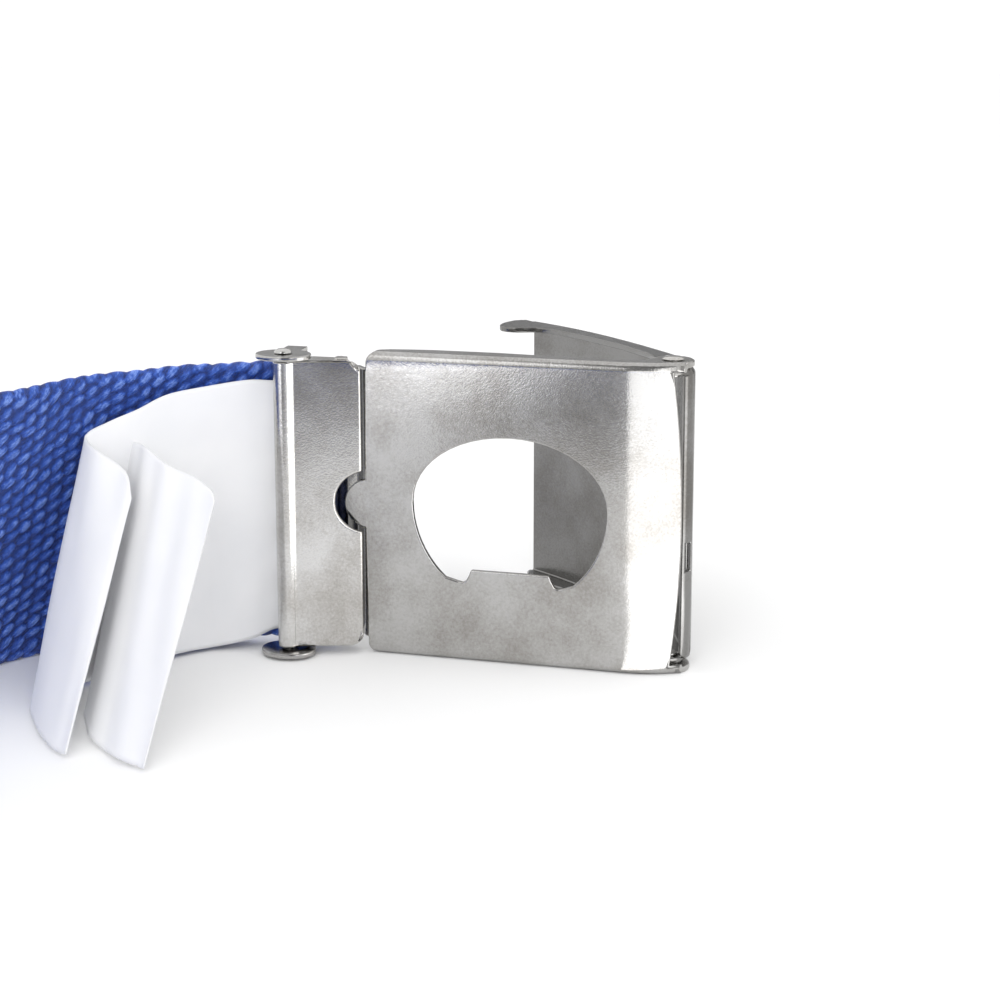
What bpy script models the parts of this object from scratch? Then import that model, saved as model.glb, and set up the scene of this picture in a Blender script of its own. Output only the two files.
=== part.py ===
"""Web belt standing on its edge: a woven strap, a flip clamp buckle with an opener hole, a care label.

Buckle coordinates are millimetres: s runs along the back plate from the strap end to the hinge end,
n runs away from the wearer's side of the plate, z is up. The row frame's +X is s and its +Y is n.
"""
import math

import bmesh
import bpy
from mathutils import Matrix, Vector

MM = 0.001

# Place of the buckle's own zero in the row frame, which puts the origin under the middle of the box
BUCKLE_X = -35.35
BUCKLE_Y = 179.5

# Buckle frame: one pressed sheet
SHEET = 0.8
FRAME_HEIGHT = 43.0
PLATE_LEFT = -0.75
PLATE_CORNER = 1.5
CURL_START = 35.2
CURL_END = 42.75
CURL_RADIUS = 16.5
END_BOW = 1.3
END_MARGIN = 1.3
BEND_OUTER = 1.2
PLATE_MIDDLE_Z = 21.6

# Side flange's far edge, from the strap end to the hinge ear
FLANGE_EDGE = [
    dict(s=PLATE_LEFT, n=1.2),
    dict(s=0.5, n=2.3),
    dict(s=2.2, n=3.0),
    dict(s=5.5, n=3.5),
    dict(s=9.0, n=3.8),
    dict(s=18.0, n=3.8),
    dict(s=27.0, n=3.1),
    dict(s=35.6, n=2.75),
    dict(s=37.6, n=3.7),
]

# Seat that carries the strap, under the jaw
SEAT_LEFT = -15.6
SEAT_N = 2.0
JOGGLE_END = -2.6
SEAT_MARGIN = 2.4
TONGUE_S = -0.45
TONGUE_RADIUS = 3.5

# Round ears at both ends of the frame
HINGE_S = 40.9
HINGE_N = 4.6
HINGE_EAR_RADIUS = 2.9
JAW_S = -11.4
JAW_N = -3.1
JAW_EAR_RADIUS = 3.9
JAW_EAR_DEPTH = 3.0
JAW_EAR_SHEET = 0.7
JAW_EAR_LOW = 0.35
JAW_EAR_HIGH = 42.25
JAW_ARM_WIDTH = 3.0
RIVET_RADIUS = 1.1
RIVET_HEAD_RADIUS = 1.6
PIN_CLEARANCE = 0.25
JAW_PIN_RADIUS = 0.5

# Opener hole in the plate
HOLE_S = 19.4
HOLE_Z = 22.4
HOLE_HALF_LENGTH = 13.55
HOLE_RISE = 9.55
HOLE_DROP = 14.0
TOOTH_S = 19.55
TOOTH_HALF_WIDTH = 5.5
TOOTH_TOP_Z = 13.1
POCKET_FLOOR_Z = 11.3

# Cover, the lever that stands open
COVER_OPEN = math.radians(44)
COVER_SHEET = 0.8
COVER_MARGIN = 1.1
COVER_BEND = 1.0
COVER_LENGTH = 41.0
COVER_ARCH_TOP = 7.5
COVER_ARCH_END = 5.6
COVER_ARCH_U = 24.0
TAB_RADIUS = 2.05
LIP_SLOT_LOW = 13.8
LIP_SLOT_HIGH = 17.8

# Jaw that clamps the strap
JAW_BOTTOM = 1.35
JAW_TOP = 41.95
JAW_SHEET = 0.7
BARREL_RADIUS = 1.45
BARREL_BORE = 0.8
JAW_TILT = math.radians(15.8)
JAW_LENGTH = 10.45
JAW_CORNER = 1.9
NOTCH_RADIUS = 4.3
NOTCH_Z = 22.1
NOTCH_SHIFT = 0.65
JAW_STEP = 0.65
JAW_LOW_FLANGE_N = -0.75
JAW_TOP_FLANGE_N = 0.9

# Strap and label
WEB_WIDTH = 39.6
WEB_THICKNESS = 1.9
WEB_BEVEL = 0.45
STRAP_STEP = 6.0
CLAMP_Z = 1.3
LABEL_THICKNESS = 1.0

# Middle line of the strap in plan, from under the jaw round to the free end
STRAP_ROUTE = [
    dict(s=-5.5, n=0.75),
    dict(s=-11.0, n=0.75),
    dict(s=-16.5, n=0.7),
    dict(s=-21.8, n=0.2),
    dict(s=-27.6, n=-0.9),
    dict(s=-33.2, n=-3.4),
    dict(s=-38.3, n=-7.1),
    dict(s=-42.6, n=-11.6),
    dict(s=-46.3, n=-17.2),
    dict(s=-56.0, n=-34.0),
    dict(s=-79.0, n=-68.0),
    dict(s=-103.0, n=-101.0),
    dict(s=-126.0, n=-138.0),
    dict(s=-141.0, n=-180.0),
    dict(s=-144.0, n=-225.0),
    dict(s=-131.0, n=-285.0),
    dict(s=-98.0, n=-336.0),
    dict(s=-50.0, n=-374.0),
    dict(s=5.0, n=-393.0),
    dict(s=65.0, n=-393.0),
    dict(s=120.0, n=-374.0),
    dict(s=169.0, n=-336.0),
    dict(s=202.0, n=-285.0),
    dict(s=215.0, n=-225.0),
    dict(s=211.0, n=-175.0),
    dict(s=202.0, n=-148.0),
]

# Height of the strap's lower edge, and how far its top leans to the wearer's side, by run length
STRAP_LIE = [
    dict(run=0.0, foot=CLAMP_Z, lean=0.0),
    dict(run=9.5, foot=CLAMP_Z, lean=0.0),
    dict(run=13.0, foot=0.95, lean=0.0),
    dict(run=18.0, foot=0.6, lean=0.4),
    dict(run=30.0, foot=0.1, lean=2.6),
    dict(run=48.0, foot=0.0, lean=6.3),
    dict(run=90.0, foot=0.0, lean=4.0),
    dict(run=170.0, foot=0.0, lean=0.0),
    dict(run=1200.0, foot=0.0, lean=0.0),
]

# Folds of the label: a station's top and foot, the tape lying between them
LABEL_LEAVES = [
    dict(top=(-9.6, -0.93, 38.6), foot=(-9.6, -0.93, 3.1)),
    dict(top=(-14.2, -0.95, 38.6), foot=(-13.9, -1.0, 2.9)),
    dict(top=(-17.7, -1.7, 38.6), foot=(-17.2, -2.2, 1.5)),
    dict(top=(-24.0, -3.1, 37.5), foot=(-22.2, -4.1, 0.6)),
    dict(top=(-28.1, -4.9, 36.6), foot=(-25.6, -7.6, 0.6)),
    dict(top=(-31.4, -7.0, 34.9), foot=(-29.5, -13.2, 0.6)),
    dict(top=(-34.4, -9.3, 33.6), foot=(-33.4, -20.4, 0.6)),
    dict(top=(-37.0, -11.4, 32.0), foot=(-37.1, -28.2, 0.6)),
    dict(top=(-34.2, -13.8, 30.7), foot=(-33.2, -34.5, 0.6)),
    dict(top=(-30.3, -15.2, 29.2), foot=(-28.3, -40.3, 0.6)),
    dict(top=(-28.2, -16.8, 27.9), foot=(-26.1, -41.9, 0.6)),
    dict(top=(-27.1, -18.4, 25.6), foot=(-25.0, -42.6, 0.9)),
]
LABEL_PAGE = [
    dict(top=(-32.2, -7.7, 33.4), foot=(-32.8, -19.2, 1.1)),
    dict(top=(-28.8, -10.4, 31.0), foot=(-29.2, -29.0, 0.9)),
    dict(top=(-24.2, -13.8, 29.4), foot=(-24.6, -37.0, 0.7)),
    dict(top=(-19.4, -15.4, 28.2), foot=(-19.2, -41.4, 0.6)),
    dict(top=(-16.1, -17.8, 27.3), foot=(-15.2, -43.3, 0.6)),
    dict(top=(-15.1, -19.0, 26.3), foot=(-14.4, -43.7, 0.7)),
]

NICKEL = dict(color=(0.55, 0.54, 0.52, 1), rough=0.3, metal=1.0)
BLUE_WEB = dict(color=(0.035, 0.09, 0.42, 1), rough=0.7, metal=0.0)
WHITE_TAPE = dict(color=(0.85, 0.86, 0.88, 1), rough=0.6, metal=0.0)


def clear_scene():
    """Remove what the scene holds."""
    for item in list(bpy.data.objects):
        bpy.data.objects.remove(item)


def principled(name, color, rough, metal):
    """A plain Principled material."""
    made = bpy.data.materials.new(name)
    made.use_nodes = True
    shader = made.node_tree.nodes["Principled BSDF"]
    shader.inputs["Base Color"].default_value = color
    shader.inputs["Roughness"].default_value = rough
    shader.inputs["Metallic"].default_value = metal
    return made


def to_row(s, n, z):
    """Buckle millimetres to row frame metres."""
    return Vector(((s + BUCKLE_X) * MM, (n + BUCKLE_Y) * MM, z * MM))


def link(name, verts, faces):
    """A mesh object from row frame points, its faces turned outward."""
    mesh = bpy.data.meshes.new(name)
    mesh.from_pydata(verts, [], faces)
    work = bmesh.new()
    work.from_mesh(mesh)
    bmesh.ops.recalc_face_normals(work, faces=work.faces)
    work.to_mesh(mesh)
    work.free()
    made = bpy.data.objects.new(name, mesh)
    bpy.context.scene.collection.objects.link(made)
    return made


def prism(name, outline, low, high, along="z"):
    """A closed prism from an outline: (s, n) drawn along z, (s, z) along n, or (n, z) along s."""
    def point(a, b, c):
        return {"z": to_row(a, b, c), "n": to_row(a, c, b), "s": to_row(c, a, b)}[along]
    count = len(outline)
    verts = [point(a, b, low) for a, b in outline] + [point(a, b, high) for a, b in outline]
    faces = [tuple(range(count)), tuple(range(count, 2 * count))]
    for i in range(count):
        j = (i + 1) % count
        faces.append((i, j, j + count, i + count))
    return link(name, verts, faces)


def disc_outline(s, n, radius, sides=24):
    """Points of a circle."""
    turns = [2 * math.pi * i / sides for i in range(sides)]
    return [(s + radius * math.cos(t), n + radius * math.sin(t)) for t in turns]


def arc(s, n, radius, start, end, steps):
    """Points along an arc, its angles in degrees."""
    turns = [math.radians(start + (end - start) * i / steps) for i in range(steps + 1)]
    return [(s + radius * math.cos(t), n + radius * math.sin(t)) for t in turns]


def offset_line(points, distance):
    """The polyline moved to its left side, mitred at its corners."""
    moved = []
    for i, (a, b) in enumerate(points):
        before = Vector(points[i]) - Vector(points[i - 1]) if i > 0 else None
        after = Vector(points[i + 1]) - Vector(points[i]) if i < len(points) - 1 else None
        lines = [d.normalized() for d in (before, after) if d is not None]
        normals = [Vector((-d.y, d.x)) for d in lines]
        mitre = sum(normals, Vector((0, 0))).normalized()
        reach = distance / mitre.dot(normals[0])
        moved.append((a + mitre.x * reach, b + mitre.y * reach))
    return moved


def boolean(target, tool, operation):
    """Join, cut or intersect two closed meshes and keep the result on the target."""
    step = target.modifiers.new(operation, "BOOLEAN")
    step.operation = operation
    step.solver = "EXACT"
    step.object = tool
    scene_graph = bpy.context.evaluated_depsgraph_get()
    result = bpy.data.meshes.new_from_object(target.evaluated_get(scene_graph))
    target.modifiers.clear()
    target.data = result
    bpy.data.objects.remove(tool)
    return target


def tidy(item):
    """Weld the doubled points that the joins leave, and drop what has no area."""
    work = bmesh.new()
    work.from_mesh(item.data)
    bmesh.ops.remove_doubles(work, verts=work.verts, dist=0.000004)
    bmesh.ops.dissolve_degenerate(work, dist=0.000004, edges=work.edges)
    bmesh.ops.triangulate(work, faces=work.faces)
    work.to_mesh(item.data)
    work.free()
    return item


def finish(item, look, pivot=None, smooth=35):
    """Give the piece its material, its shading and its origin on its joint axis."""
    if pivot is not None:
        item.data.transform(Matrix.Translation(-pivot))
        item.location = pivot
    item.data.materials.clear()
    item.data.materials.append(principled(item.name + "_finish", **look))
    item.data.shade_smooth()
    item.data.set_sharp_from_angle(angle=math.radians(smooth))
    return item


def hole_outline():
    """The opener hole: an oval above, a deeper round below, and the straight tooth between two pockets."""
    low = math.asin((HOLE_Z - POCKET_FLOOR_Z - 0.6) / HOLE_DROP)
    steps = 10
    turns = [(HOLE_RISE, math.pi * i / 24) for i in range(25)]
    turns += [(HOLE_DROP, math.pi + low * i / steps) for i in range(1, steps + 1)]
    turns += [(HOLE_DROP, 2 * math.pi - low * i / steps) for i in range(steps, 0, -1)]
    oval = [(HOLE_S + HOLE_HALF_LENGTH * math.cos(t), HOLE_Z + half * math.sin(t)) for half, t in turns]
    side = [(TOOTH_HALF_WIDTH + 1.75, POCKET_FLOOR_Z + 0.1), (TOOTH_HALF_WIDTH + 1.2, POCKET_FLOOR_Z),
            (TOOTH_HALF_WIDTH + 0.7, POCKET_FLOOR_Z + 0.25), (TOOTH_HALF_WIDTH + 0.25, POCKET_FLOOR_Z + 1.1),
            (TOOTH_HALF_WIDTH, TOOTH_TOP_Z)]
    floor = [(TOOTH_S - d, z) for d, z in side] + [(TOOTH_S + d, z) for d, z in side[::-1]]
    return oval[:25 + steps] + floor + oval[25 + steps:]


def flange_outline():
    """Side flange in plan: a slanted start at the strap end, its far edge, and the round hinge ear."""
    far = [(PLATE_LEFT, -0.3)] + [(row["s"], row["n"]) for row in FLANGE_EDGE]
    ear = arc(HINGE_S, HINGE_N, HINGE_EAR_RADIUS, 165, -40, 14)
    return far + ear + [(HINGE_S + 1.1, -0.3)]


def u_section():
    """The plate with both bent flanges, across the buckle, as (n, z) pairs."""
    depth = HINGE_N + HINGE_EAR_RADIUS + 1
    top = FRAME_HEIGHT
    inner = BEND_OUTER - SHEET
    outer = [(depth, 0.0)] + arc(BEND_OUTER, BEND_OUTER, BEND_OUTER, 270, 180, 5)
    outer += arc(BEND_OUTER, top - BEND_OUTER, BEND_OUTER, 180, 90, 5) + [(depth, top)]
    inside = [(depth, top - SHEET)] + arc(BEND_OUTER, top - BEND_OUTER, inner, 90, 180, 3)
    inside += arc(BEND_OUTER, BEND_OUTER, inner, 180, 270, 3) + [(depth, SHEET)]
    return outer + inside


def curl_depth(s):
    """How far the plate has curled away from the wearer at s."""
    reach = min(max(s - CURL_START, 0.0), CURL_END - CURL_START)
    return CURL_RADIUS - math.sqrt(CURL_RADIUS ** 2 - reach ** 2)


def channel():
    """The plate and its flanges drawn along s, curling away towards the hinge end."""
    steps = 8
    curl = [CURL_START + (CURL_END - CURL_START) * i / steps for i in range(steps + 1)]
    stations = [PLATE_LEFT] + curl + [HINGE_S + HINGE_EAR_RADIUS + 0.4]
    section = u_section()
    verts = [to_row(s, n + curl_depth(s), z) for s in stations for n, z in section]
    count = len(section)
    faces = [tuple(range(count)), tuple(range(len(verts) - count, len(verts)))]
    for i in range(len(stations) - 1):
        for j in range(count):
            k = (j + 1) % count
            faces.append((i * count + j, i * count + k, (i + 1) * count + k, (i + 1) * count + j))
    return link("buckle_frame", verts, faces)


def end_cut():
    """What is cut away past the plate's bowed end edge, between the flanges."""
    across = [i / 8 - 1 for i in range(17)]
    half = FRAME_HEIGHT / 2 - END_MARGIN
    edge = [(CURL_END - END_BOW * c * c, FRAME_HEIGHT / 2 + half * c) for c in across]
    beyond = HINGE_S + 6
    return prism("end_cut", edge + [(beyond, edge[-1][1]), (beyond, edge[0][1])], -1, 12, along="n")


def corner_plan():
    """The plate's outline from the wearer's side, with its two round corners at the strap end."""
    r, top = PLATE_CORNER, FRAME_HEIGHT + 1e-3
    left = arc(PLATE_LEFT + r, r - 1e-3, r, 270, 180, 6) + arc(PLATE_LEFT + r, top - r, r, 180, 90, 6)
    return prism("corner_plan", [(HINGE_S + 9, -1e-3)] + left + [(HINGE_S + 9, top)], -1, 12, along="n")


def seat():
    """The stepped seat behind the strap."""
    plate, step = [(PLATE_LEFT + 0.9, 0.0), (PLATE_LEFT, 0.0)], [(JOGGLE_END, SEAT_N), (SEAT_LEFT, SEAT_N)]
    shoulder = [(PLATE_LEFT - 0.3, 0.1), (PLATE_LEFT - 0.6, 0.4)]
    back = offset_line(plate + step, -SHEET)
    return prism("seat", plate + shoulder + step + back[::-1], SEAT_MARGIN, FRAME_HEIGHT - SEAT_MARGIN)


def jaw_ear(low):
    """One ear disc for the jaw's pin, with its arm back to the seat."""
    half = JAW_ARM_WIDTH / 2
    turn = math.degrees(math.asin(half / JAW_EAR_RADIUS))
    flat = JAW_EAR_DEPTH / JAW_EAR_RADIUS
    outline = [(s, JAW_N + n * flat) for s, n in arc(JAW_S, 0.0, JAW_EAR_RADIUS, 90 + turn, 450 - turn, 32)]
    outline += [(JAW_S + half, SEAT_N + 0.3), (JAW_S - half, SEAT_N + 0.3)]
    return prism("jaw_ear", outline, low, low + JAW_EAR_SHEET)


def build_frame():
    """The buckle frame, one pressed piece."""
    frame = channel()
    boolean(frame, prism("flange_plan", flange_outline(), -1, FRAME_HEIGHT + 1), "INTERSECT")
    boolean(frame, corner_plan(), "INTERSECT")
    boolean(frame, end_cut(), "DIFFERENCE")
    boolean(frame, seat(), "UNION")
    tongue = arc(TONGUE_S, PLATE_MIDDLE_Z, TONGUE_RADIUS, 90, 270, 20)
    tongue += [(TONGUE_S + 0.5, PLATE_MIDDLE_Z + side * TONGUE_RADIUS) for side in (-1, 1)]
    boolean(frame, prism("tongue", tongue, 0.0, SHEET, along="n"), "UNION")
    half = JAW_ARM_WIDTH / 2
    root = [(JAW_S - half, SEAT_N), (JAW_S + half, SEAT_N),
            (JAW_S + half, SEAT_N + 0.6), (JAW_S - half, SEAT_N + 0.6)]
    boolean(frame, prism("ear_root", root, JAW_EAR_LOW, JAW_EAR_HIGH + JAW_EAR_SHEET), "UNION")
    for low in (JAW_EAR_LOW, JAW_EAR_HIGH):
        boolean(frame, jaw_ear(low), "UNION")
    boolean(frame, prism("opener_hole", hole_outline(), -1, 2, along="n"), "DIFFERENCE")
    holes = [dict(s=HINGE_S, n=HINGE_N, radius=RIVET_RADIUS), dict(s=JAW_S, n=JAW_N, radius=JAW_PIN_RADIUS)]
    for row in holes:
        ring = disc_outline(row["s"], row["n"], row["radius"] + PIN_CLEARANCE, 16)
        boolean(frame, prism("ear_hole", ring, -1, FRAME_HEIGHT + 1), "DIFFERENCE")
    return finish(tidy(frame), NICKEL)


def cover_face_line():
    """Outer face of the closed cover as (u, v): u from the hinge to the free end, v away from the wearer."""
    wrap = [(-1.95, 0.5), (-2.1, 1.3), (-1.75, 2.35), (-0.75, 3.3), (0.7, 4.05), (2.6, 4.75)]
    def arch(u):
        span = COVER_ARCH_U if u < COVER_ARCH_U else COVER_LENGTH - COVER_ARCH_U
        return COVER_ARCH_TOP - (COVER_ARCH_TOP - COVER_ARCH_END) * ((u - COVER_ARCH_U) / span) ** 2
    face = [(u, arch(u)) for u in (5.5, 9, 12.5, 16, 20, 24, 28, 32, 35.5, 38.5, COVER_LENGTH)]
    return wrap + face


def cover_point(u, v):
    """Open place of a point of the cover in plan."""
    c, k = math.cos(COVER_OPEN), math.sin(COVER_OPEN)
    return HINGE_S - u * c + v * k, HINGE_N + u * k + v * c


def cover_channel():
    """The cover's face with its two long rounded bends, drawn along the face line."""
    line = cover_face_line()
    leg = 1.25
    low, high = COVER_MARGIN, FRAME_HEIGHT - COVER_MARGIN
    inner = COVER_BEND - COVER_SHEET
    def bend(z, sign, radius, steps, outward):
        turns = [math.pi / 2 * i / steps for i in range(steps + 1)]
        pairs = [(COVER_BEND - radius * math.cos(t), z + sign * radius * math.sin(t)) for t in turns]
        return pairs if outward else pairs[::-1]
    section = [(leg, low)] + bend(low + COVER_BEND, -1, COVER_BEND, 4, False)
    section += bend(high - COVER_BEND, 1, COVER_BEND, 4, True) + [(leg, high)]
    section += [(leg, high - COVER_SHEET)] + bend(high - COVER_BEND, 1, inner, 2, False)
    section += bend(low + COVER_BEND, -1, inner, 2, True) + [(leg, low + COVER_SHEET)]
    rings = []
    depths = sorted({round(d, 6) for d, z in section})
    lines = {d: offset_line(line, -d) if d > 0 else line for d in depths}
    for i in range(len(line)):
        rings.append([to_row(*cover_point(*lines[round(d, 6)][i]), z) for d, z in section])
    count = len(section)
    faces = [tuple(range(count)), tuple(range((len(line) - 1) * count, len(line) * count))]
    for i in range(len(line) - 1):
        for j in range(count):
            k = (j + 1) % count
            faces.append((i * count + j, i * count + k, (i + 1) * count + k, (i + 1) * count + j))
    return link("cover", [p for ring in rings for p in ring], faces)


def cover_flange(low, end):
    """One side flange of the cover: the hinge tab, the narrow web and, at its free end, the given points."""
    face = offset_line(cover_face_line(), -COVER_BEND)[3:]
    tab = arc(0, 0, TAB_RADIUS, 150, 330, 10)
    near = [(4.4, 0.9), (7.2, 2.7), (10.5, 3.5), (17.5, 4.2), (26.0, 3.9), (31.4, 3.4), (34.6, 2.5)]
    outline = tab + near + end + face[::-1]
    return prism("cover_flange", [cover_point(u, v) for u, v in outline], low, low + COVER_SHEET)


def build_cover():
    """The open cover, hinged between the frame's ears."""
    cover = cover_channel()
    lobe = [(35.7, 1.6), (36.4, 0.4), (36.9, -0.6), (37.6, -1.3), (38.4, -1.8), (39.2, -2.0), (40.2, -1.8),
            (41.0, -1.3), (41.8, -0.4), (42.4, 0.6), (42.8, 1.7), (42.9, 2.8), (42.7, 3.8), (42.3, 4.6)]
    short = [(37.6, 2.6), (39.4, 2.9), (40.6, 3.6), (41.0, 4.4)]
    boolean(cover, cover_flange(FRAME_HEIGHT - COVER_MARGIN - COVER_SHEET, lobe), "UNION")
    boolean(cover, cover_flange(COVER_MARGIN, short), "UNION")
    hole = disc_outline(HINGE_S, HINGE_N, RIVET_RADIUS + PIN_CLEARANCE, 16)
    boolean(cover, prism("tab_hole", hole, -1, FRAME_HEIGHT + 1), "DIFFERENCE")
    slot = [cover_point(u, v) for u, v in ((-3.0, 1.0), (-1.0, 1.0), (-1.0, 2.1), (-3.0, 2.1))]
    boolean(cover, prism("lip_slot", slot, LIP_SLOT_LOW, LIP_SLOT_HIGH), "DIFFERENCE")
    return finish(tidy(cover), NICKEL, pivot=to_row(HINGE_S, HINGE_N, 0))


def turned(name, s, n, profile, sides=20):
    """A pin turned about an upright axis, from its (radius, z) profile, whose ends lie on the axis."""
    verts, faces = [], []
    for radius, z in profile[1:-1]:
        verts += [to_row(*place, z) for place in disc_outline(s, n, radius, sides)]
    rows = len(profile) - 2
    verts += [to_row(s, n, profile[0][1]), to_row(s, n, profile[-1][1])]
    for i in range(sides):
        j = (i + 1) % sides
        faces.append((rows * sides, j, i))
        faces.append((rows * sides + 1, (rows - 1) * sides + i, (rows - 1) * sides + j))
        for row in range(rows - 1):
            faces.append((row * sides + i, row * sides + j, (row + 1) * sides + j, (row + 1) * sides + i))
    return finish(link(name, verts, faces), NICKEL)


def build_cover_pins():
    """The two rivets through the frame's ears and the cover's tabs, the upper one with a domed head."""
    radius, head = RIVET_RADIUS, RIVET_HEAD_RADIUS
    low, top = FRAME_HEIGHT - 2.2, FRAME_HEIGHT + 0.12
    plain = [(0, 0.1), (radius, 0.1), (radius, 2.2), (0, 2.2)]
    headed = [(0, low), (radius, low), (radius, top), (head, top), (head * 0.8, top + 0.22),
              (head * 0.4, top + 0.34), (0, top + 0.37)]
    turned("cover_pin_bottom", HINGE_S, HINGE_N, plain)
    turned("cover_pin_top", HINGE_S, HINGE_N, headed)


def jaw_point(along, out):
    """A point of the jaw in plan, along its face from the pin and out to the wearer's side."""
    c, k = math.cos(JAW_TILT), math.sin(JAW_TILT)
    return JAW_S + along * c + out * k, JAW_N + along * k - out * c


def build_jaw():
    """The clamp jaw: a rolled barrel, a flat plate with a pry notch, and two low side flanges."""
    jaw = prism("clamp_jaw", disc_outline(JAW_S, JAW_N, BARREL_RADIUS, 28), JAW_BOTTOM, JAW_TOP)
    front = BARREL_RADIUS - JAW_STEP
    back = front - JAW_SHEET
    plate = [jaw_point(*p) for p in ((0.2, front), (JAW_LENGTH, front), (JAW_LENGTH, back), (0.2, back))]
    sheet = prism("jaw_plate", plate, JAW_BOTTOM, JAW_TOP)
    edge = JAW_S + JAW_LENGTH * math.cos(JAW_TILT) + front * math.sin(JAW_TILT)
    corner = JAW_CORNER
    corners = [(JAW_S - 2, JAW_BOTTOM - 0.1)] + arc(edge - corner, JAW_BOTTOM + corner, corner, 270, 360, 6)
    notch = math.degrees(math.asin(NOTCH_SHIFT / NOTCH_RADIUS))
    corners += arc(edge + NOTCH_SHIFT, NOTCH_Z, NOTCH_RADIUS, 270 - notch, 90 + notch, 20)
    corners += arc(edge - corner, JAW_TOP - corner, corner, 0, 90, 6) + [(JAW_S - 2, JAW_TOP + 0.1)]
    boolean(sheet, prism("jaw_outline", corners, -12, 3, along="n"), "INTERSECT")
    boolean(jaw, sheet, "UNION")
    flanges = [dict(low=JAW_BOTTOM, n=JAW_LOW_FLANGE_N), dict(low=JAW_TOP - JAW_SHEET, n=JAW_TOP_FLANGE_N)]
    for row in flanges:
        reach = row["n"]
        flange = [jaw_point(1.6, front - 0.1), jaw_point(JAW_LENGTH - 2.2, front - 0.1),
                  (edge - 2.7, min(reach, -0.8)), (edge - 3.6, reach),
                  (JAW_S + 2.9, reach), (JAW_S + 2.0, reach - 0.7)]
        boolean(jaw, prism("jaw_flange", flange, row["low"], row["low"] + JAW_SHEET), "UNION")
    corners = ((7.0, front - 0.25), (8.7, front - 0.25), (8.7, back - 1.4), (7.0, back - 1.4))
    nub = [jaw_point(*p) for p in corners]
    boolean(jaw, prism("jaw_nub", nub, JAW_TOP - 0.4, JAW_TOP + 0.3), "UNION")
    bore = prism("jaw_bore", disc_outline(JAW_S, JAW_N, BARREL_BORE, 14), -1, FRAME_HEIGHT + 1)
    boolean(jaw, bore, "DIFFERENCE")
    return finish(tidy(jaw), NICKEL, pivot=to_row(JAW_S, JAW_N, 0))


def build_jaw_pin():
    """The headed pin through the ears and the barrel, turned about its axis."""
    head = 1.3
    top_face = JAW_EAR_HIGH + JAW_EAR_SHEET
    profile = [(0.0, 0.03), (0.9, 0.03), (1.0, 0.25), (JAW_PIN_RADIUS, 0.25),
               (JAW_PIN_RADIUS, top_face + 0.1), (head, top_face + 0.1), (head * 0.92, top_face + 0.35),
               (head * 0.55, top_face + 0.6), (0.0, top_face + 0.68)]
    turned("jaw_pin", JAW_S, JAW_N, profile, 16)


def spline(points, step):
    """Evenly spaced places on a centripetal curve through the points."""
    dense = []
    padded = [2 * points[0] - points[1]] + points + [2 * points[-1] - points[-2]]
    for i in range(1, len(padded) - 2):
        a, b, c, d = padded[i - 1:i + 3]
        for j in range(16):
            t = j / 16
            dense.append(0.5 * (2 * b + (c - a) * t + (2 * a - 5 * b + 4 * c - d) * t * t
                                + (3 * b - a - 3 * c + d) * t ** 3))
    dense.append(points[-1])
    runs = [0.0]
    for i in range(1, len(dense)):
        runs.append(runs[-1] + (dense[i] - dense[i - 1]).length)
    count = round(runs[-1] / step)
    even, k = [], 0
    for i in range(count + 1):
        run = runs[-1] * i / count
        while k < len(runs) - 2 and runs[k + 1] < run:
            k += 1
        part = (run - runs[k]) / (runs[k + 1] - runs[k])
        even.append((run, dense[k].lerp(dense[k + 1], part)))
    return even


def lie_at(run, key):
    """Value of a column of the strap's table at a run length, eased between its rows."""
    for low, high in zip(STRAP_LIE, STRAP_LIE[1:]):
        if run <= high["run"]:
            part = (run - low["run"]) / (high["run"] - low["run"])
            part = part * part * (3 - 2 * part)
            return low[key] + (high[key] - low[key]) * part
    return STRAP_LIE[-1][key]


def build_strap():
    """The woven strap as a plain band with eased edges, standing on its lower edge."""
    places = spline([Vector((row["s"], row["n"])) for row in STRAP_ROUTE], STRAP_STEP)
    half, ease = WEB_THICKNESS / 2, WEB_BEVEL
    lower = [(-half, ease), (-half + ease, 0.0), (half - ease, 0.0), (half, ease)]
    section = lower + [(-across, WEB_WIDTH - up) for across, up in lower]
    verts, faces = [], []
    for i, (run, place) in enumerate(places):
        ahead = places[min(i + 1, len(places) - 1)][1] - places[max(i - 1, 0)][1]
        side = Vector((-ahead.y, ahead.x)).normalized()
        lean, foot = lie_at(run, "lean"), lie_at(run, "foot")
        tilt = math.asin(lean / WEB_WIDTH)
        for across, up in section:
            out = across * math.cos(tilt) + (up - WEB_WIDTH / 2) * math.sin(tilt)
            rise = foot + up * math.cos(tilt) + (half - across) * math.sin(tilt)
            verts.append(to_row(place.x + side.x * out, place.y + side.y * out, rise))
    count = len(section)
    faces = [tuple(range(count)), tuple(range(len(verts) - count, len(verts)))]
    for i in range(len(places) - 1):
        for j in range(count):
            k = (j + 1) % count
            faces.append((i * count + j, i * count + k, (i + 1) * count + k, (i + 1) * count + j))
    return finish(link("webbing_strap", verts, faces), BLUE_WEB, smooth=50)


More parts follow.
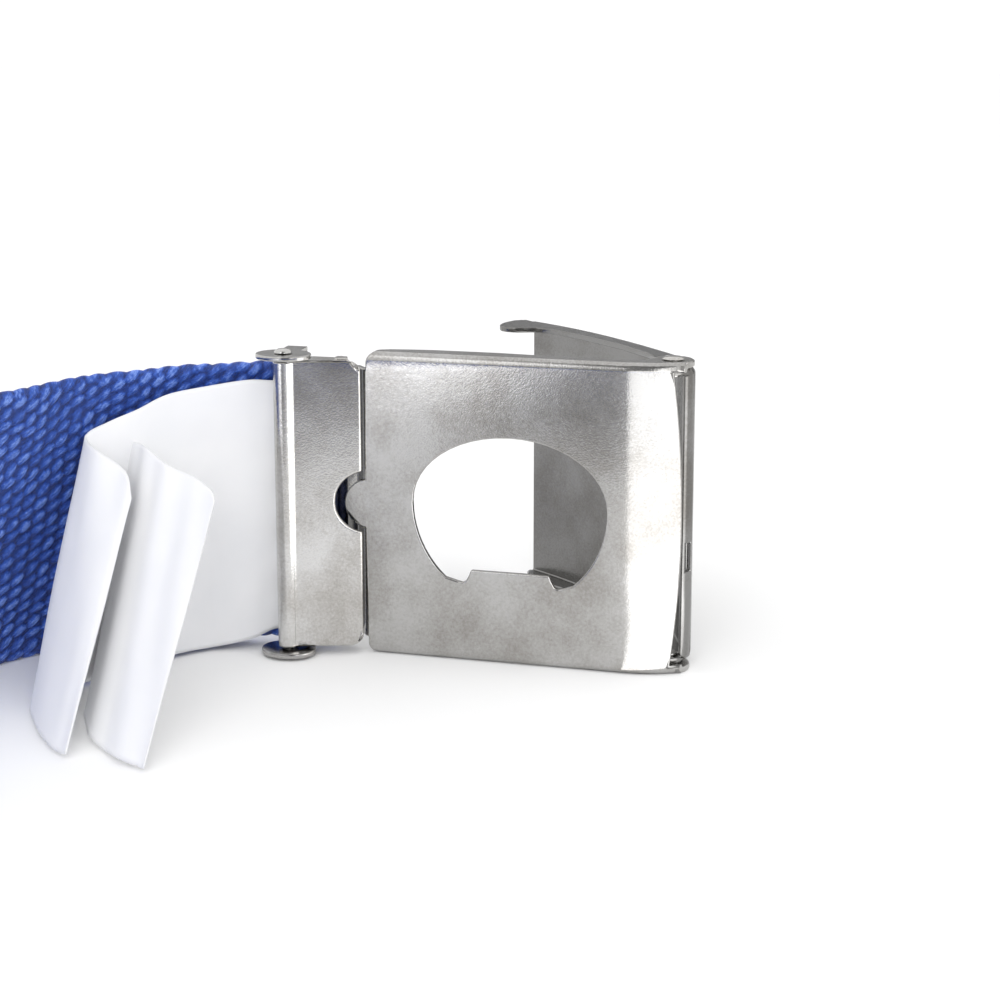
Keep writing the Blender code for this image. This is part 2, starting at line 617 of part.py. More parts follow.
def tape(name, stations):
    """A band of tape of even thickness through its stations."""
    verts = []
    for i, row in enumerate(stations):
        before, after = stations[max(i - 1, 0)], stations[min(i + 1, len(stations) - 1)]
        along = sum((Vector(after[end]) - Vector(before[end]) for end in ("top", "foot")), Vector())
        up = Vector(row["top"]) - Vector(row["foot"])
        side = along.cross(up).normalized() * LABEL_THICKNESS / 2
        for end, sign in (("foot", -1), ("foot", 1), ("top", 1), ("top", -1)):
            verts.append(to_row(*(Vector(row[end]) + side * sign)))
    faces = [(0, 1, 2, 3), tuple(range(len(verts) - 4, len(verts)))]
    for i in range(len(stations) - 1):
        for j in range(4):
            k = (j + 1) % 4
            faces.append((i * 4 + j, i * 4 + k, (i + 1) * 4 + k, (i + 1) * 4 + j))
    return link(name, verts, faces)


def build_label():
    """The folded care label: two leaves of one folded tape, and the page that stands between them."""
    label = tape("care_label", LABEL_LEAVES)
    boolean(label, tape("page", LABEL_PAGE), "UNION")
    return finish(tidy(label), WHITE_TAPE)


def main():
    """Build every piece."""
    clear_scene()
    build_frame()
    build_cover()
    build_cover_pins()
    build_jaw()
    build_jaw_pin()
    build_strap()
    build_label()


main()
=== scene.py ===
"""Looks of the web belt: woven strap, folded label, satin metal buckle, white table, soft light."""
import math

import bmesh
import bpy
import numpy as np
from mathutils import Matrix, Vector


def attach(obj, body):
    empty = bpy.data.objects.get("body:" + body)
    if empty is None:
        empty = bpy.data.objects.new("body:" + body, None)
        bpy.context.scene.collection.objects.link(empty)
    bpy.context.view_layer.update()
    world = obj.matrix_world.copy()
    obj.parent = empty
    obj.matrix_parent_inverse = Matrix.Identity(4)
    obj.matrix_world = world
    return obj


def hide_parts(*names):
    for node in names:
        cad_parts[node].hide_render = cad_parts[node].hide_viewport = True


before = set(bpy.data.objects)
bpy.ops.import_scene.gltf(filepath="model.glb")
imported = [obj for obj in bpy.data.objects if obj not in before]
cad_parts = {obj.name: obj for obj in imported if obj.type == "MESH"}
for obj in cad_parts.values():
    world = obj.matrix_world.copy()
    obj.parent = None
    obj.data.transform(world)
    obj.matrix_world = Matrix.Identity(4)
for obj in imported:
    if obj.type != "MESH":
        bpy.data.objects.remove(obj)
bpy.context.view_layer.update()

MM = 0.001

# Place of the buckle's own zero in the row frame, in millimetres
BUCKLE_X = -35.35
BUCKLE_Y = 179.5

# Camera: place in buckle millimetres, turns in degrees, lens and sensor in millimetres, clips in metres
CAMERA_PLACE = (70.0, -216.5, 85.9)
CAMERA_YAW = 13.45
CAMERA_PITCH = 9.01
CAMERA_LENS = 60.9
CAMERA_SENSOR = 36.0
CAMERA_SHIFT = -0.198
CAMERA_CLIP_NEAR = 0.01
CAMERA_CLIP_FAR = 20

# Lights and cards, in buckle millimetres; a light's size is in metres and its power in watts
LIGHTS = [
    dict(name="front", place=(90, -500, 430), aim=(-10, 0, 20), size=(0.6, 0.6), power=1.2, only_shine=False),
    dict(name="right_strip", place=(49.7, -18, 24), aim=(37.2, -3, 24), size=(0.045, 0.05), power=0.0118,
         only_shine=True),
    dict(name="right_floor", place=(52, -17, 0.4), aim=(52, -17, 20), size=(0.034, 0.034), power=0.0062,
         only_shine=True),
    dict(name="top_left_floor", place=(-97, -262, 2), aim=(-97, -262, 20), size=(0.14, 0.14), power=0.16,
         only_shine=True),
    dict(name="gap", place=(-4.2, 0.9, 21.5), aim=(10, 0.9, 21.5), size=(0.002, 0.038), power=0.00009,
         only_shine=True),
]
CARDS = [
    dict(name="low_card", shade=0.3,
         corners=[(-25, -110, 1), (130, -110, 1), (130, -420, 1), (-25, -420, 1)]),
    dict(name="top_card", shade=0.1,
         corners=[(-30, -168, 2), (60, -168, 2), (60, -260, 2), (-30, -260, 2)]),
    dict(name="back_card", shade=0.3,
         corners=[(-200, 260, 30), (250, 260, 30), (250, 260, 160), (-200, 260, 160)]),
    dict(name="far_card", shade=0.15,
         corners=[(-78, -450, 0), (220, -450, 0), (220, -450, 420), (-78, -450, 420)]),
    dict(name="high_card", shade=0.15,
         corners=[(-60, -450, 420), (220, -450, 420), (220, -60, 420), (-60, -60, 420)]),
]
CARD_CLOUD = 6.0
CARD_RANGE = 1.1
WORLD_STRENGTH = 1.07
FLOOR_HALF = 4
FLOOR_SHADES = [(0.0, (0.95, 0.95, 0.95)), (1.0, (0.97, 0.97, 0.97))]
FLOOR_CLOUD = 3.0
FLOOR_ROUGH = 0.9

# Strap, in millimetres; half is the core's, and the threads stand on it
WEB_WIDTH = 39.6
WEB_HALF = 0.75
WEB_EDGE = 0.9
WEB_CLEAR = 0.15
CLAMP_Z = 1.3
STRAP_ROUTE = [
    dict(s=-5.5, n=0.75),
    dict(s=-11.0, n=0.75),
    dict(s=-16.5, n=0.7),
    dict(s=-21.8, n=0.2),
    dict(s=-27.6, n=-0.9),
    dict(s=-33.2, n=-3.4),
    dict(s=-38.3, n=-7.1),
    dict(s=-42.6, n=-11.6),
    dict(s=-46.3, n=-17.2),
    dict(s=-56.0, n=-34.0),
    dict(s=-79.0, n=-68.0),
    dict(s=-103.0, n=-101.0),
    dict(s=-126.0, n=-138.0),
    dict(s=-141.0, n=-180.0),
    dict(s=-144.0, n=-225.0),
    dict(s=-131.0, n=-285.0),
    dict(s=-98.0, n=-336.0),
    dict(s=-50.0, n=-374.0),
    dict(s=5.0, n=-393.0),
    dict(s=65.0, n=-393.0),
    dict(s=120.0, n=-374.0),
    dict(s=169.0, n=-336.0),
    dict(s=202.0, n=-285.0),
    dict(s=215.0, n=-225.0),
    dict(s=211.0, n=-175.0),
    dict(s=202.0, n=-148.0),
]
ROUTE_STEP = 2.0
STRAP_LIE = [
    dict(run=0.0, foot=CLAMP_Z, lean=0.0),
    dict(run=9.5, foot=CLAMP_Z, lean=0.0),
    dict(run=13.0, foot=0.95, lean=0.0),
    dict(run=18.0, foot=0.6, lean=0.4),
    dict(run=30.0, foot=0.1, lean=2.6),
    dict(run=48.0, foot=0.0, lean=6.3),
    dict(run=90.0, foot=0.0, lean=4.0),
    dict(run=170.0, foot=0.0, lean=0.0),
    dict(run=1200.0, foot=0.0, lean=0.0),
]

# Lengths of the strap: run lengths at both ends, and the mesh steps along it and up its two faces
PAST_END = 2000.0
WEB_LENGTHS = [
    dict(name="web_near", start=0.0, end=64.0, step=0.2, front=0.2, back=0.6),
    dict(name="web_loop", start=64.0, end=480.0, step=0.8, front=0.6, back=0.6),
    dict(name="web_end", start=480.0, end=PAST_END, step=0.8, front=0.6, back=0.6),
]

# Weave: one raised thread per cell of a slanted lattice, in millimetres along and up the strap
CELL_A = (1.86, -0.7)
CELL_B = (-0.25, -1.86)
THREAD_TURN = math.radians(38)
THREAD_LONG = 1.28
THREAD_WIDE = 0.6
THREAD_RISE = 0.4
EDGE_PITCH = 2.5
EDGE_BUMP = 0.22
EDGE_WANDER = 0.3
EDGE_WANDER_TURNS = 0.7
EDGE_ROWS = 3

# Each thread's own chance: how it strays, sways and turns, and the height of its crown and strands
CHANCE_I = 12.99
CHANCE_J = 78.23
CHANCE_SPREAD = 437.5
SWING_I = 5.7
SWING_J = 3.1
THREAD_STRAY = 0.22
THREAD_SWAY = 0.1
THREAD_SWING = 0.2
CROWN = dict(base=0.78, along=0.3, chance=0.14, strand=0.18, strands=2.5, phase=4)

# Slow waves that bend the lattice along and up the strap: size in millimetres, radians per millimetre
DRIFT_ALONG = [dict(size=0.12, run=0.43, up=0.31), dict(size=0.06, run=0.29, up=-0.8)]
DRIFT_UP = [dict(size=0.12, run=-0.37, up=0.5), dict(size=0.05, run=0.9, up=0.37)]

# Metal pieces; edge is the rounding of the sheet's cut edges, in millimetres
# tone scales the one steel's colour per piece as painted light and shade: the cover's low tone is painted
# shade, the jaw's and the pins' higher tones painted light
METAL_LOOK = {
    "buckle_frame": dict(tone=0.94, rough=0.18, grain=0.06, edge=0.2),
    "cover": dict(tone=0.47, rough=0.2, grain=0.03, edge=0.2),
    "cover_pin_bottom": dict(tone=1.1, rough=0.15, grain=0.01, edge=0.08),
    "cover_pin_top": dict(tone=1.4, rough=0.1, grain=0.0, edge=0.08),
    "clamp_jaw": dict(tone=1.3, rough=0.22, grain=0.09, edge=0.3),
    "jaw_pin": dict(tone=1.1, rough=0.12, grain=0.01, edge=0.08),
}
STEEL_SHADES = [(0.36, (0.34, 0.325, 0.305)), (0.47, (0.43, 0.42, 0.405)), (0.58, (0.52, 0.515, 0.505))]
STEEL_CLOUD = dict(scale=90.0, detail=3.0, roughness=0.6)
STEEL_SPECK = dict(scale=2900.0, detail=3.0, roughness=0.75)
STEEL_GRAIN = dict(scale=4600.0, detail=1.0, roughness=0.5)
STEEL_MIX = dict(cloud=0.6, speck=0.4)
STEEL_BUMP = 0.0002
ROUGH_RANGE = 0.06
WELD_REACH = 0.000002
EDGE_SEGMENTS = 3
EDGE_ANGLE = math.radians(40)

# Colours of the strap and the label, dark to light, and the share of each pattern in the strap's colour
# The strap's colours run from painted shade in the hollows up to painted highlight on the thread tops
WEB_SHADE_TO_HIGHLIGHT = [
    (0.25, (0.006, 0.028, 0.17)),
    (0.45, (0.017, 0.07, 0.38)),
    (0.6, (0.035, 0.12, 0.56)),
    (0.8, (0.22, 0.37, 0.92)),
]
WEB_MIX = dict(ridge=0.34, fibre=0.78, tone=0.12, patch=0.1, less=0.12)
WEB_FIBRE = dict(scale=1.0, detail=3.0, roughness=0.7)
WEB_PATCH = dict(scale=0.35, detail=2.0, roughness=0.6)
WEB_BUMP = dict(strength=1.0, distance=0.0005)
WEB_FINISH = dict(Roughness=0.45, Sheen_Weight=0.15, Sheen_Roughness=0.35)
FIBRE_SCALE = (1.2, 3.6, 1.0)
TAPE_SHADES = [(0.3, (0.84, 0.845, 0.86)), (0.7, (0.88, 0.88, 0.89))]
TAPE_WEAVE = dict(scale=2.0, detail=2.0, roughness=0.6)
TAPE_CLOUD = dict(scale=0.12, detail=2.0, roughness=0.5)
TAPE_BUMP = dict(strength=0.12, distance=0.00005)
TAPE_FINISH = dict(Roughness=0.55, Sheen_Weight=0.1)
WEAVE_SCALE = (3.0, 9.0, 1.0)

# Label's tape, in millimetres, with the mesh's columns along it and rows up it
TAPE_HALF = 0.13
TAPE_WIDTH = 34.0
TAPE_STEP = 1.0
TAPE_COLUMNS = 110
TAPE_ROWS = 60

# Creases all over the tape and puckers in one band by the jaw; rises are in millimetres, waves in
# radians over the tape's length and width, and places in shares of its length and width
CREASE = 0.22
CREASE_WAVES = [dict(along=21, up=4), dict(along=6, up=2.6)]
CREASE_EASE = 8
PUCKER = 0.8
PUCKER_TURNS = 33.8
PUCKER_PLACE = 0.055
PUCKER_REACH = 0.022
PUCKER_TOP = 0.62
PUCKER_EASE = 6

# Label leaves: a station's top and foot, in buckle millimetres
LABEL_LEAVES = [
    dict(top=(-9.6, -0.93, 38.6), foot=(-9.6, -0.93, 3.1)),
    dict(top=(-14.2, -0.95, 38.6), foot=(-13.9, -1.0, 2.9)),
    dict(top=(-17.7, -1.7, 38.6), foot=(-17.2, -2.2, 1.5)),
    dict(top=(-24.0, -3.1, 37.5), foot=(-22.2, -4.1, 0.6)),
    dict(top=(-28.1, -4.9, 36.6), foot=(-25.6, -7.6, 0.6)),
    dict(top=(-31.4, -7.0, 34.9), foot=(-29.5, -13.2, 0.6)),
    dict(top=(-34.4, -9.3, 33.6), foot=(-33.4, -20.4, 0.6)),
    dict(top=(-37.0, -11.4, 32.0), foot=(-37.1, -28.2, 0.6)),
    dict(top=(-34.2, -13.8, 30.7), foot=(-33.2, -34.5, 0.6)),
    dict(top=(-30.3, -15.2, 29.2), foot=(-28.3, -40.3, 0.6)),
    dict(top=(-28.2, -16.8, 27.9), foot=(-26.1, -41.9, 0.6)),
    dict(top=(-27.1, -18.4, 25.6), foot=(-25.0, -42.6, 0.9)),
]
LABEL_PAGE = [
    dict(top=(-32.2, -7.7, 30.6), foot=(-32.8, -19.2, 1.1)),
    dict(top=(-28.8, -10.4, 30.7), foot=(-29.2, -29.0, 0.9)),
    dict(top=(-24.2, -13.8, 29.4), foot=(-24.6, -37.0, 0.7)),
    dict(top=(-19.4, -15.4, 28.2), foot=(-19.2, -41.4, 0.6)),
    dict(top=(-16.1, -17.8, 27.3), foot=(-15.2, -43.3, 0.6)),
    dict(top=(-15.1, -19.0, 26.3), foot=(-14.4, -43.7, 0.7)),
]

# Parts that a curve has between two of its points
CURVE_PARTS = 16


def to_row(points):
    """Buckle millimetres to row frame metres, for an array of points."""
    return (np.asarray(points, float) + (BUCKLE_X, BUCKLE_Y, 0.0)) * MM


def mesh_object(name, points, quads, uv=None, material=None, smooth=True):
    """A mesh piece from row frame points and faces, with an optional place on the cloth for each point."""
    mesh = bpy.data.meshes.new(name)
    mesh.from_pydata([tuple(p) for p in points], [], [tuple(int(i) for i in q) for q in quads])
    if uv is not None:
        layer = mesh.uv_layers.new(name="cloth")
        index = np.empty(len(mesh.loops), np.int32)
        mesh.loops.foreach_get("vertex_index", index)
        layer.data.foreach_set("uv", np.asarray(uv, np.float32)[index].ravel())
    mesh.polygons.foreach_set("use_smooth", [smooth] * len(mesh.polygons))
    mesh.update()
    made = bpy.data.objects.new(name, mesh)
    bpy.context.scene.collection.objects.link(made)
    if material is not None:
        mesh.materials.append(material)
    return made


def ring_quads(columns, rows):
    """Faces of a tube whose points run row by row round each column."""
    i, j = np.meshgrid(np.arange(columns - 1), np.arange(rows), indexing="ij")
    k = (j + 1) % rows
    return np.stack([i * rows + j, (i + 1) * rows + j, (i + 1) * rows + k, i * rows + k], -1).reshape(-1, 4)


def turn_faces_out(piece):
    """Turn a closed piece's faces outwards."""
    work = bmesh.new()
    work.from_mesh(piece.data)
    bmesh.ops.recalc_face_normals(work, faces=work.faces)
    work.to_mesh(piece.data)
    work.free()


class Nodes:
    """Short names for building a material's nodes."""

    def __init__(self, name):
        self.material = bpy.data.materials.new(name)
        self.material.use_nodes = True
        self.tree = self.material.node_tree
        self.shader = self.tree.nodes["Principled BSDF"]

    def put(self, socket, value):
        if isinstance(value, bpy.types.NodeSocket):
            self.tree.links.new(value, socket)
        else:
            socket.default_value = value

    def math(self, operation, a, b=0.0, c=0.0):
        node = self.tree.nodes.new("ShaderNodeMath")
        node.operation = operation
        for socket, value in zip(node.inputs, (a, b, c)):
            self.put(socket, value)
        return node.outputs[0]

    def noise(self, vector, scale, detail=2.0, roughness=0.5):
        node = self.tree.nodes.new("ShaderNodeTexNoise")
        self.put(node.inputs["Vector"], vector)
        node.inputs["Scale"].default_value = scale
        node.inputs["Detail"].default_value = detail
        node.inputs["Roughness"].default_value = roughness
        return node.outputs["Fac"]

    def scaled(self, vector, scale, turn=0.0):
        node = self.tree.nodes.new("ShaderNodeMapping")
        node.vector_type = "TEXTURE" if turn else "POINT"
        self.put(node.inputs["Vector"], vector)
        node.inputs["Scale"].default_value = scale
        node.inputs["Rotation"].default_value = (0.0, 0.0, turn)
        return node.outputs["Vector"]

    def attribute(self, name):
        node = self.tree.nodes.new("ShaderNodeAttribute")
        node.attribute_name = name
        return node.outputs["Fac"]

    def coords(self, kind):
        return self.tree.nodes.new("ShaderNodeTexCoord").outputs[kind]

    def ramp(self, value, stops):
        node = self.tree.nodes.new("ShaderNodeValToRGB")
        self.put(node.inputs["Fac"], value)
        ramp = node.color_ramp
        while len(ramp.elements) < len(stops):
            ramp.elements.new(0.5)
        for element, (place, color) in zip(ramp.elements, stops):
            element.position = place
            element.color = (*color, 1.0)
        return node.outputs["Color"]

    def rescale(self, value, low, high):
        node = self.tree.nodes.new("ShaderNodeMapRange")
        self.put(node.inputs["Value"], value)
        node.inputs["To Min"].default_value = low
        node.inputs["To Max"].default_value = high
        return node.outputs["Result"]

    def bump(self, height, strength, distance):
        node = self.tree.nodes.new("ShaderNodeBump")
        self.put(node.inputs["Height"], height)
        node.inputs["Strength"].default_value = strength
        node.inputs["Distance"].default_value = distance
        return node.outputs["Normal"]

    def set(self, **values):
        for key, value in values.items():
            self.put(self.shader.inputs[key.replace("_", " ")], value)


def steel(name, tone, rough, grain):
    """Satin nickel over pressed sheet: a fine grain, faint cloudy stains, a slightly warm grey."""
    m = Nodes(name)
    place = m.coords("Object")
    cloud = m.noise(place, **STEEL_CLOUD)
    fine = m.noise(place, **STEEL_GRAIN)
    speck = m.noise(place, **STEEL_SPECK)
    mixed = m.math("MULTIPLY_ADD", cloud, STEEL_MIX["cloud"], m.math("MULTIPLY", speck, STEEL_MIX["speck"]))
    # tone paints light or shade into this piece's steel colour
    shades = [(at, tuple(c * tone for c in color)) for at, color in STEEL_SHADES]
    m.set(Base_Color=m.ramp(mixed, shades), Metallic=1.0)
    m.set(Roughness=m.rescale(fine, rough - ROUGH_RANGE, rough + ROUGH_RANGE))
    m.set(Normal=m.bump(fine, grain, STEEL_BUMP))
    return m.material


def webbing(name):
    """Blue woven web: painted shade in the hollows, painted highlight on the ridges, fine fibres along each
    thread.
    """
    m = Nodes(name)
    uv = m.coords("UV")
    ridge = m.attribute("ridge")
    tone = m.attribute("tone")
    turned = m.scaled(uv, (1.0, 1.0, 1.0), THREAD_TURN)
    fibre = m.noise(m.scaled(turned, FIBRE_SCALE), **WEB_FIBRE)
    patch = m.noise(uv, **WEB_PATCH)
    # The ridge height sets the colour: painted shade low in the hollows, painted highlight on the thread tops
    mixed = m.math("MULTIPLY_ADD", ridge, WEB_MIX["ridge"], m.math("MULTIPLY", fibre, WEB_MIX["fibre"]))
    chance = m.math("MULTIPLY_ADD", tone, WEB_MIX["tone"], m.math("MULTIPLY", patch, WEB_MIX["patch"]))
    mixed = m.math("SUBTRACT", m.math("ADD", mixed, chance), WEB_MIX["less"])
    m.set(Base_Color=m.ramp(mixed, WEB_SHADE_TO_HIGHLIGHT), Normal=m.bump(fibre, **WEB_BUMP), **WEB_FINISH)
    return m.material


def satin_tape(name):
    """White label tape with a very fine weave."""
    m = Nodes(name)
    uv = m.coords("UV")
    fine = m.noise(m.scaled(uv, WEAVE_SCALE), **TAPE_WEAVE)
    soft = m.noise(uv, **TAPE_CLOUD)
    m.set(Base_Color=m.ramp(soft, TAPE_SHADES), Normal=m.bump(fine, **TAPE_BUMP), **TAPE_FINISH)
    return m.material


def spline(points, step):
    """Evenly spaced places, with their run lengths, on a smooth curve through the points."""
    points = [np.asarray(p, float) for p in points]
    padded = [2 * points[0] - points[1]] + points + [2 * points[-1] - points[-2]]
    dense = []
    for a, b, c, d in zip(padded, padded[1:], padded[2:], padded[3:]):
        for t in np.linspace(0.0, 1.0, CURVE_PARTS, endpoint=False):
            dense.append(0.5 * (2 * b + (c - a) * t + (2 * a - 5 * b + 4 * c - d) * t * t
                                + (3 * b - a - 3 * c + d) * t ** 3))
    dense.append(points[-1])
    dense = np.array(dense)
    runs = np.concatenate([[0.0], np.cumsum(np.linalg.norm(np.diff(dense, axis=0), axis=1))])
    even = np.linspace(0.0, runs[-1], round(runs[-1] / step) + 1)
    return even, columns_at(even, runs, dense)


def columns_at(places, known, table):
    """Each column of a table between its rows, at the given places among the known ones."""
    return np.stack([np.interp(places, known, table[:, k]) for k in range(table.shape[1])], 1)


def lie_at(runs, key):
    """A column of the strap's table at each run length, eased between its rows."""
    values = np.full(len(runs), STRAP_LIE[-1][key], float)
    for low, high in reversed(list(zip(STRAP_LIE, STRAP_LIE[1:]))):
        part = np.clip((runs - low["run"]) / (high["run"] - low["run"]), 0, 1)
        part = part * part * (3 - 2 * part)
        values = np.where(runs <= high["run"], low[key] + (high[key] - low[key]) * part, values)
    return values


def drift(waves, run_grid, up_grid):
    """The sum of the slow waves at each place on the strap."""
    return sum(row["size"] * np.sin(run_grid * row["run"] + up_grid * row["up"]) for row in waves)


def weave_height(x, y):
    """Height of the topmost thread, and that thread's own tone, for arrays of places on the strap."""
    cell = np.array([CELL_A, CELL_B]).T
    i, j = (row.reshape(x.shape) for row in np.linalg.solve(cell, np.stack([x.ravel(), y.ravel()])))
    height, tone = np.zeros(x.shape), np.zeros(x.shape)
    for di in (-1, 0, 1):
        for dj in (-1, 0, 1):
            mid_i, mid_j = np.floor(i) + di + 0.5, np.floor(j) + dj + 0.5
            chance = np.sin(mid_i * CHANCE_I + mid_j * CHANCE_J) * CHANCE_SPREAD
            chance -= np.floor(chance)
            swing = np.sin(mid_i * SWING_I + mid_j * SWING_J)
            away_x = (i - mid_i) * CELL_A[0] + (j - mid_j) * CELL_B[0] + THREAD_STRAY * (chance - 0.5)
            away_y = (i - mid_i) * CELL_A[1] + (j - mid_j) * CELL_B[1] + THREAD_SWAY * swing
            turn = THREAD_TURN + THREAD_SWING * swing
            along = (away_x * np.cos(turn) + away_y * np.sin(turn)) / THREAD_LONG
            across = (away_y * np.cos(turn) - away_x * np.sin(turn)) / THREAD_WIDE
            strand = CROWN["strand"] * np.cos(across * CROWN["strands"] * math.pi + CROWN["phase"] * chance)
            crown = CROWN["base"] + CROWN["along"] * along + CROWN["chance"] * chance + strand
            here = np.sqrt(np.maximum(1 - along ** 2 - across ** 2, 0)) * crown
            tone = np.where(here > height, chance, tone)
            height = np.maximum(here, height)
    return height, tone


def rows_up(gap):
    """Heights up one face of the strap, with closer rows round its two edges."""
    middle = np.arange(WEB_EDGE, WEB_WIDTH - WEB_EDGE + gap / 2, gap)
    turn = np.linspace(0, math.pi / 2, EDGE_ROWS + 1)[1:]
    low = WEB_EDGE * (1 - np.cos(turn[:-1]))
    return np.concatenate([low, middle, WEB_WIDTH - low[::-1]])


def build_web(row, material):
    """One length of the strap between two run lengths, closed, with its threads raised."""
    route_runs, route = spline([(point["s"], point["n"]) for point in STRAP_ROUTE], ROUTE_STEP)
    start, end = row["start"], min(row["end"], route_runs[-1])
    runs = np.linspace(start, end, round((end - start) / row["step"]) + 1)
    place = columns_at(runs, route_runs, route)
    ahead = columns_at(runs, route_runs, np.gradient(route, route_runs, axis=0))
    ahead /= np.linalg.norm(ahead, axis=1, keepdims=True)
    side = np.stack([-ahead[:, 1], ahead[:, 0]], 1)
    tilt = np.arcsin(lie_at(runs, "lean") / WEB_WIDTH)
    foot = lie_at(runs, "foot")

    front, back = rows_up(row["front"]), rows_up(row["back"])[::-1]
    ups = np.concatenate([[0.0], front, [WEB_WIDTH], back])
    sign = np.concatenate([[0.0], np.ones(len(front)), [0.0], -np.ones(len(back))])
    near_edge = np.clip(np.minimum(ups, WEB_WIDTH - ups) / WEB_EDGE, 0, 1)
    half = WEB_HALF * np.sqrt(1 - (1 - near_edge) ** 2)
    run_grid, up_grid = np.meshgrid(runs, ups, indexing="ij")
    cloth_x = drift(DRIFT_ALONG, run_grid, up_grid) - run_grid
    cloth_y = np.where(sign[None, :] < 0, -up_grid, up_grid) + drift(DRIFT_UP, run_grid, up_grid)
    ridge, tone = weave_height(cloth_x, cloth_y)
    out = sign[None, :] * (half[None, :] + ridge * THREAD_RISE * near_edge[None, :])

    wander = EDGE_WANDER * np.sin(run_grid * EDGE_WANDER_TURNS)
    scallop = np.abs(np.sin(math.pi * (run_grid + wander) / EDGE_PITCH))
    edge_lift = EDGE_BUMP * (1 - near_edge) * scallop * np.sign(up_grid - WEB_WIDTH / 2)
    lean = (up_grid - WEB_WIDTH / 2) * np.sin(tilt)[:, None] + out * np.cos(tilt)[:, None]
    spot = place[:, None, :] + side[:, None, :] * lean[..., None]
    sunk = (WEB_HALF + WEB_CLEAR - out) * np.sin(tilt)[:, None]
    rise_z = foot[:, None] + up_grid * np.cos(tilt)[:, None] + sunk + edge_lift
    points = to_row(np.concatenate([spot, rise_z[..., None]], -1).reshape(-1, 3))
    count = len(ups)
    ends = [list(range(count)), list(range(len(points) - count, len(points)))[::-1]]
    uv = np.stack([cloth_x.ravel(), cloth_y.ravel()], 1)
    web = mesh_object(row["name"], points, list(ring_quads(len(runs), count)) + ends, uv, material)
    # The ridge height is kept on the points for the strap's painted shade and highlight; the tone is each
    # thread's own
    for key, values in (("ridge", ridge), ("tone", tone)):
        column = web.data.attributes.new(key, "FLOAT", "POINT")
        column.data.foreach_set("value", values.ravel().astype(np.float32))
    turn_faces_out(web)
    return web


def tape_relief(u, v, pucker):
    """How far the tape stands off its smooth surface: creases all over, less the puckers at the jaw."""
    relief = CREASE
    for wave in CREASE_WAVES:
        relief = relief * np.sin(u * wave["along"] + v * wave["up"])
    relief = relief * np.clip(u * CREASE_EASE, 0, 1)
    near_jaw = np.exp(-((u - PUCKER_PLACE) / PUCKER_REACH) ** 2)
    near_jaw = near_jaw * np.clip(v * PUCKER_EASE, 0, 1) * np.clip((PUCKER_TOP - v) * PUCKER_EASE, 0, 1)
    return relief - pucker * near_jaw * np.sin(v * PUCKER_TURNS / 2) ** 2


def build_tape(name, stations, material, pucker=0.0):
    """A leaf of tape on a smooth surface through its stations, closed round its thin edges."""
    columns, rows = TAPE_COLUMNS, TAPE_ROWS
    runs, lines = spline([(*row["top"], *row["foot"]) for row in stations], TAPE_STEP)
    u, v = np.linspace(0, 1, columns), np.linspace(0, 1, rows)
    lines = columns_at(u, runs / runs[-1], lines)
    top, foot = lines[:, None, :3], lines[:, None, 3:]
    surface = foot + (top - foot) * v[None, :, None]
    normal = np.cross(np.gradient(surface, axis=0), np.gradient(surface, axis=1))
    normal /= np.linalg.norm(normal, axis=-1, keepdims=True)
    surface = surface + normal * tape_relief(u[:, None], v, pucker)[..., None]
    sides = [surface + normal * TAPE_HALF, (surface - normal * TAPE_HALF)[:, ::-1]]
    points = to_row(np.concatenate(sides, 1).reshape(-1, 3))
    length = np.concatenate([[0], np.cumsum(np.linalg.norm(np.diff(surface[:, rows // 2], axis=0), axis=1))])
    ups = np.concatenate([v, v[::-1]]) * TAPE_WIDTH
    uv = np.stack([np.repeat(length, 2 * rows), np.tile(ups, columns)], 1)
    quads = list(ring_quads(columns, 2 * rows))
    for start in (0, (columns - 1) * 2 * rows):
        for j in range(rows - 1):
            quads.append([start + j, start + j + 1, start + 2 * rows - 2 - j, start + 2 * rows - 1 - j])
    leaf = mesh_object(name, points, quads, uv, material)
    turn_faces_out(leaf)
    return leaf, float(length[-1])


def area_light(name, place, aim, size, power, only_shine):
    """A rectangular light that the camera doesn't see; with only_shine it lights nothing but reflections."""
    data = bpy.data.lights.new(name, "AREA")
    data.shape = "RECTANGLE"
    data.size, data.size_y = size
    data.energy = power
    lamp = bpy.data.objects.new(name, data)
    lamp.location = to_row(place)
    lamp.rotation_euler = (Vector(aim) - Vector(place)).to_track_quat("-Z", "Y").to_euler()
    lamp.visible_camera = False
    lamp.visible_diffuse = not only_shine
    bpy.context.scene.collection.objects.link(lamp)


def dark_card(name, corners, shade):
    """A grey card outside the picture, seen only in the metal's reflections."""
    card = mesh_object(name, to_row(corners), [(0, 1, 2, 3)], smooth=False)
    m = Nodes(name + "_grey")
    cloud = m.noise(m.coords("Object"), CARD_CLOUD)
    m.set(Base_Color=m.ramp(cloud, [(0.0, (shade,) * 3), (1.0, (shade * CARD_RANGE,) * 3)]))
    card.data.materials.append(m.material)
    for ray in ("camera", "diffuse", "shadow"):
        setattr(card, "visible_" + ray, False)


def build_floor():
    """White table top."""
    corners = [(x * FLOOR_HALF, y * FLOOR_HALF, 0) for x, y in ((-1, -1), (1, -1), (1, 1), (-1, 1))]
    floor = mesh_object("floor", corners, [(0, 1, 2, 3)], smooth=False)
    m = Nodes("floor_white")
    shade = m.noise(m.coords("Object"), FLOOR_CLOUD)
    m.set(Base_Color=m.ramp(shade, FLOOR_SHADES), Roughness=FLOOR_ROUGH)
    floor.data.materials.append(m.material)


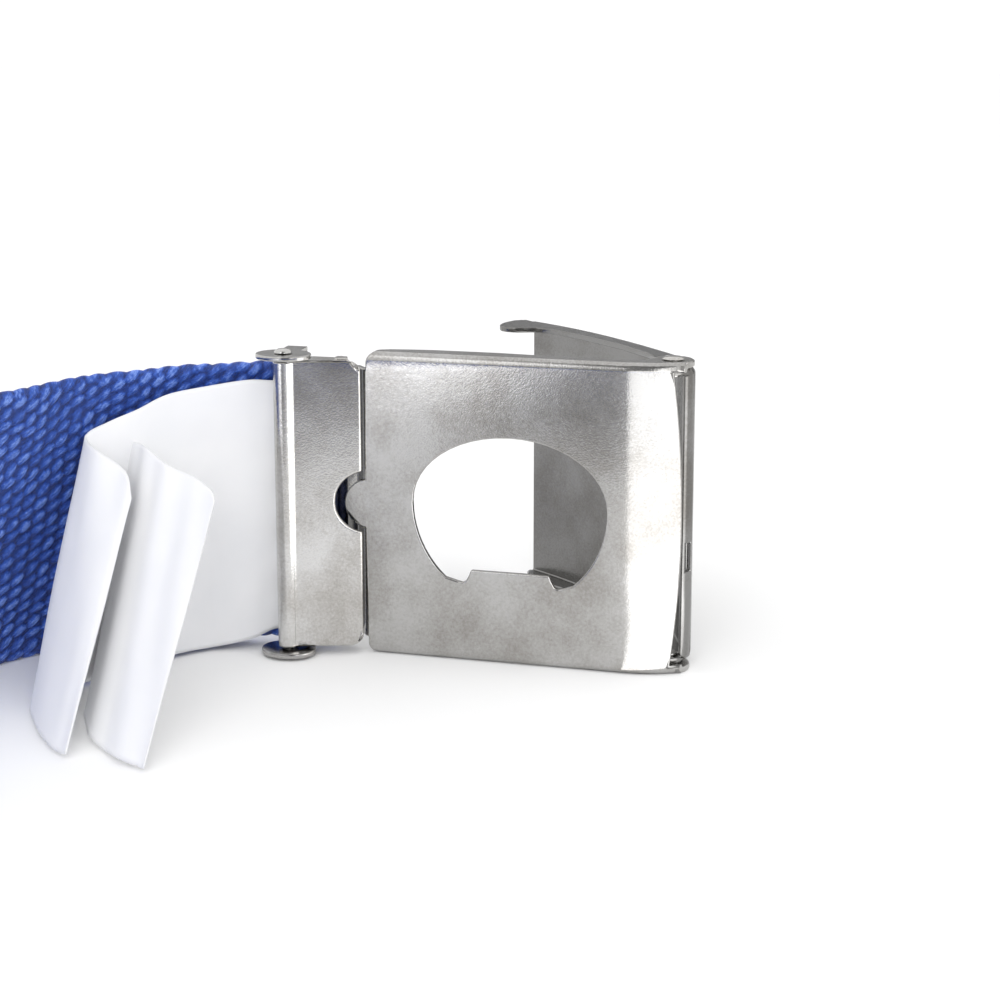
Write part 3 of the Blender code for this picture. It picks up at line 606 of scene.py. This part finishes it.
def build_stage():
    """Floor, world, lights, cards and camera."""
    scene = bpy.context.scene
    scene.view_settings.view_transform = "Standard"
    build_floor()
    world = bpy.data.worlds.new("soft_room")
    world.use_nodes = True
    world.node_tree.nodes["Background"].inputs["Color"].default_value = (1, 1, 1, 1)
    world.node_tree.nodes["Background"].inputs["Strength"].default_value = WORLD_STRENGTH
    scene.world = world
    for row in LIGHTS:
        area_light(**row)
    for row in CARDS:
        dark_card(**row)
    data = bpy.data.cameras.new("camera")
    data.lens = CAMERA_LENS
    data.sensor_width = CAMERA_SENSOR
    data.shift_y = CAMERA_SHIFT
    data.clip_start = CAMERA_CLIP_NEAR
    data.clip_end = CAMERA_CLIP_FAR
    camera = bpy.data.objects.new("camera", data)
    camera.location = to_row(CAMERA_PLACE)
    camera.rotation_euler = (math.radians(90 - CAMERA_PITCH), 0, math.radians(CAMERA_YAW))
    scene.collection.objects.link(camera)
    scene.camera = camera


def dress_metal():
    """Give the metal nodes their finishes, rounded cut edges and smooth shading with flat faces kept flat."""
    for name, look in METAL_LOOK.items():
        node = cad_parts[name]
        node.data.materials.clear()
        node.data.materials.append(steel(name + "_satin", look["tone"], look["rough"], look["grain"]))
        node.data.shade_smooth()
        weld = node.modifiers.new("weld", "WELD")
        weld.merge_threshold = WELD_REACH
        edge = node.modifiers.new("round_edges", "BEVEL")
        edge.width = look["edge"] * MM
        edge.segments = EDGE_SEGMENTS
        edge.angle_limit = EDGE_ANGLE
        edge.use_clamp_overlap = False
        flat = node.modifiers.new("flat_faces", "WEIGHTED_NORMAL")
        flat.keep_sharp = True


def dress_soft():
    """Woven strap and folded label over their solids."""
    blue = webbing("web_blue")
    for row in WEB_LENGTHS:
        web = build_web(row, blue)
        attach(web, "frame")
        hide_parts("webbing_strap")
    white = satin_tape("label_white")
    folded = build_tape("label_leaves", LABEL_LEAVES, white, pucker=PUCKER)
    page = build_tape("label_page", LABEL_PAGE, white)
    for leaf, length in (folded, page):
        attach(leaf, "frame")
        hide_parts("care_label")


build_stage()
dress_metal()
dress_soft()
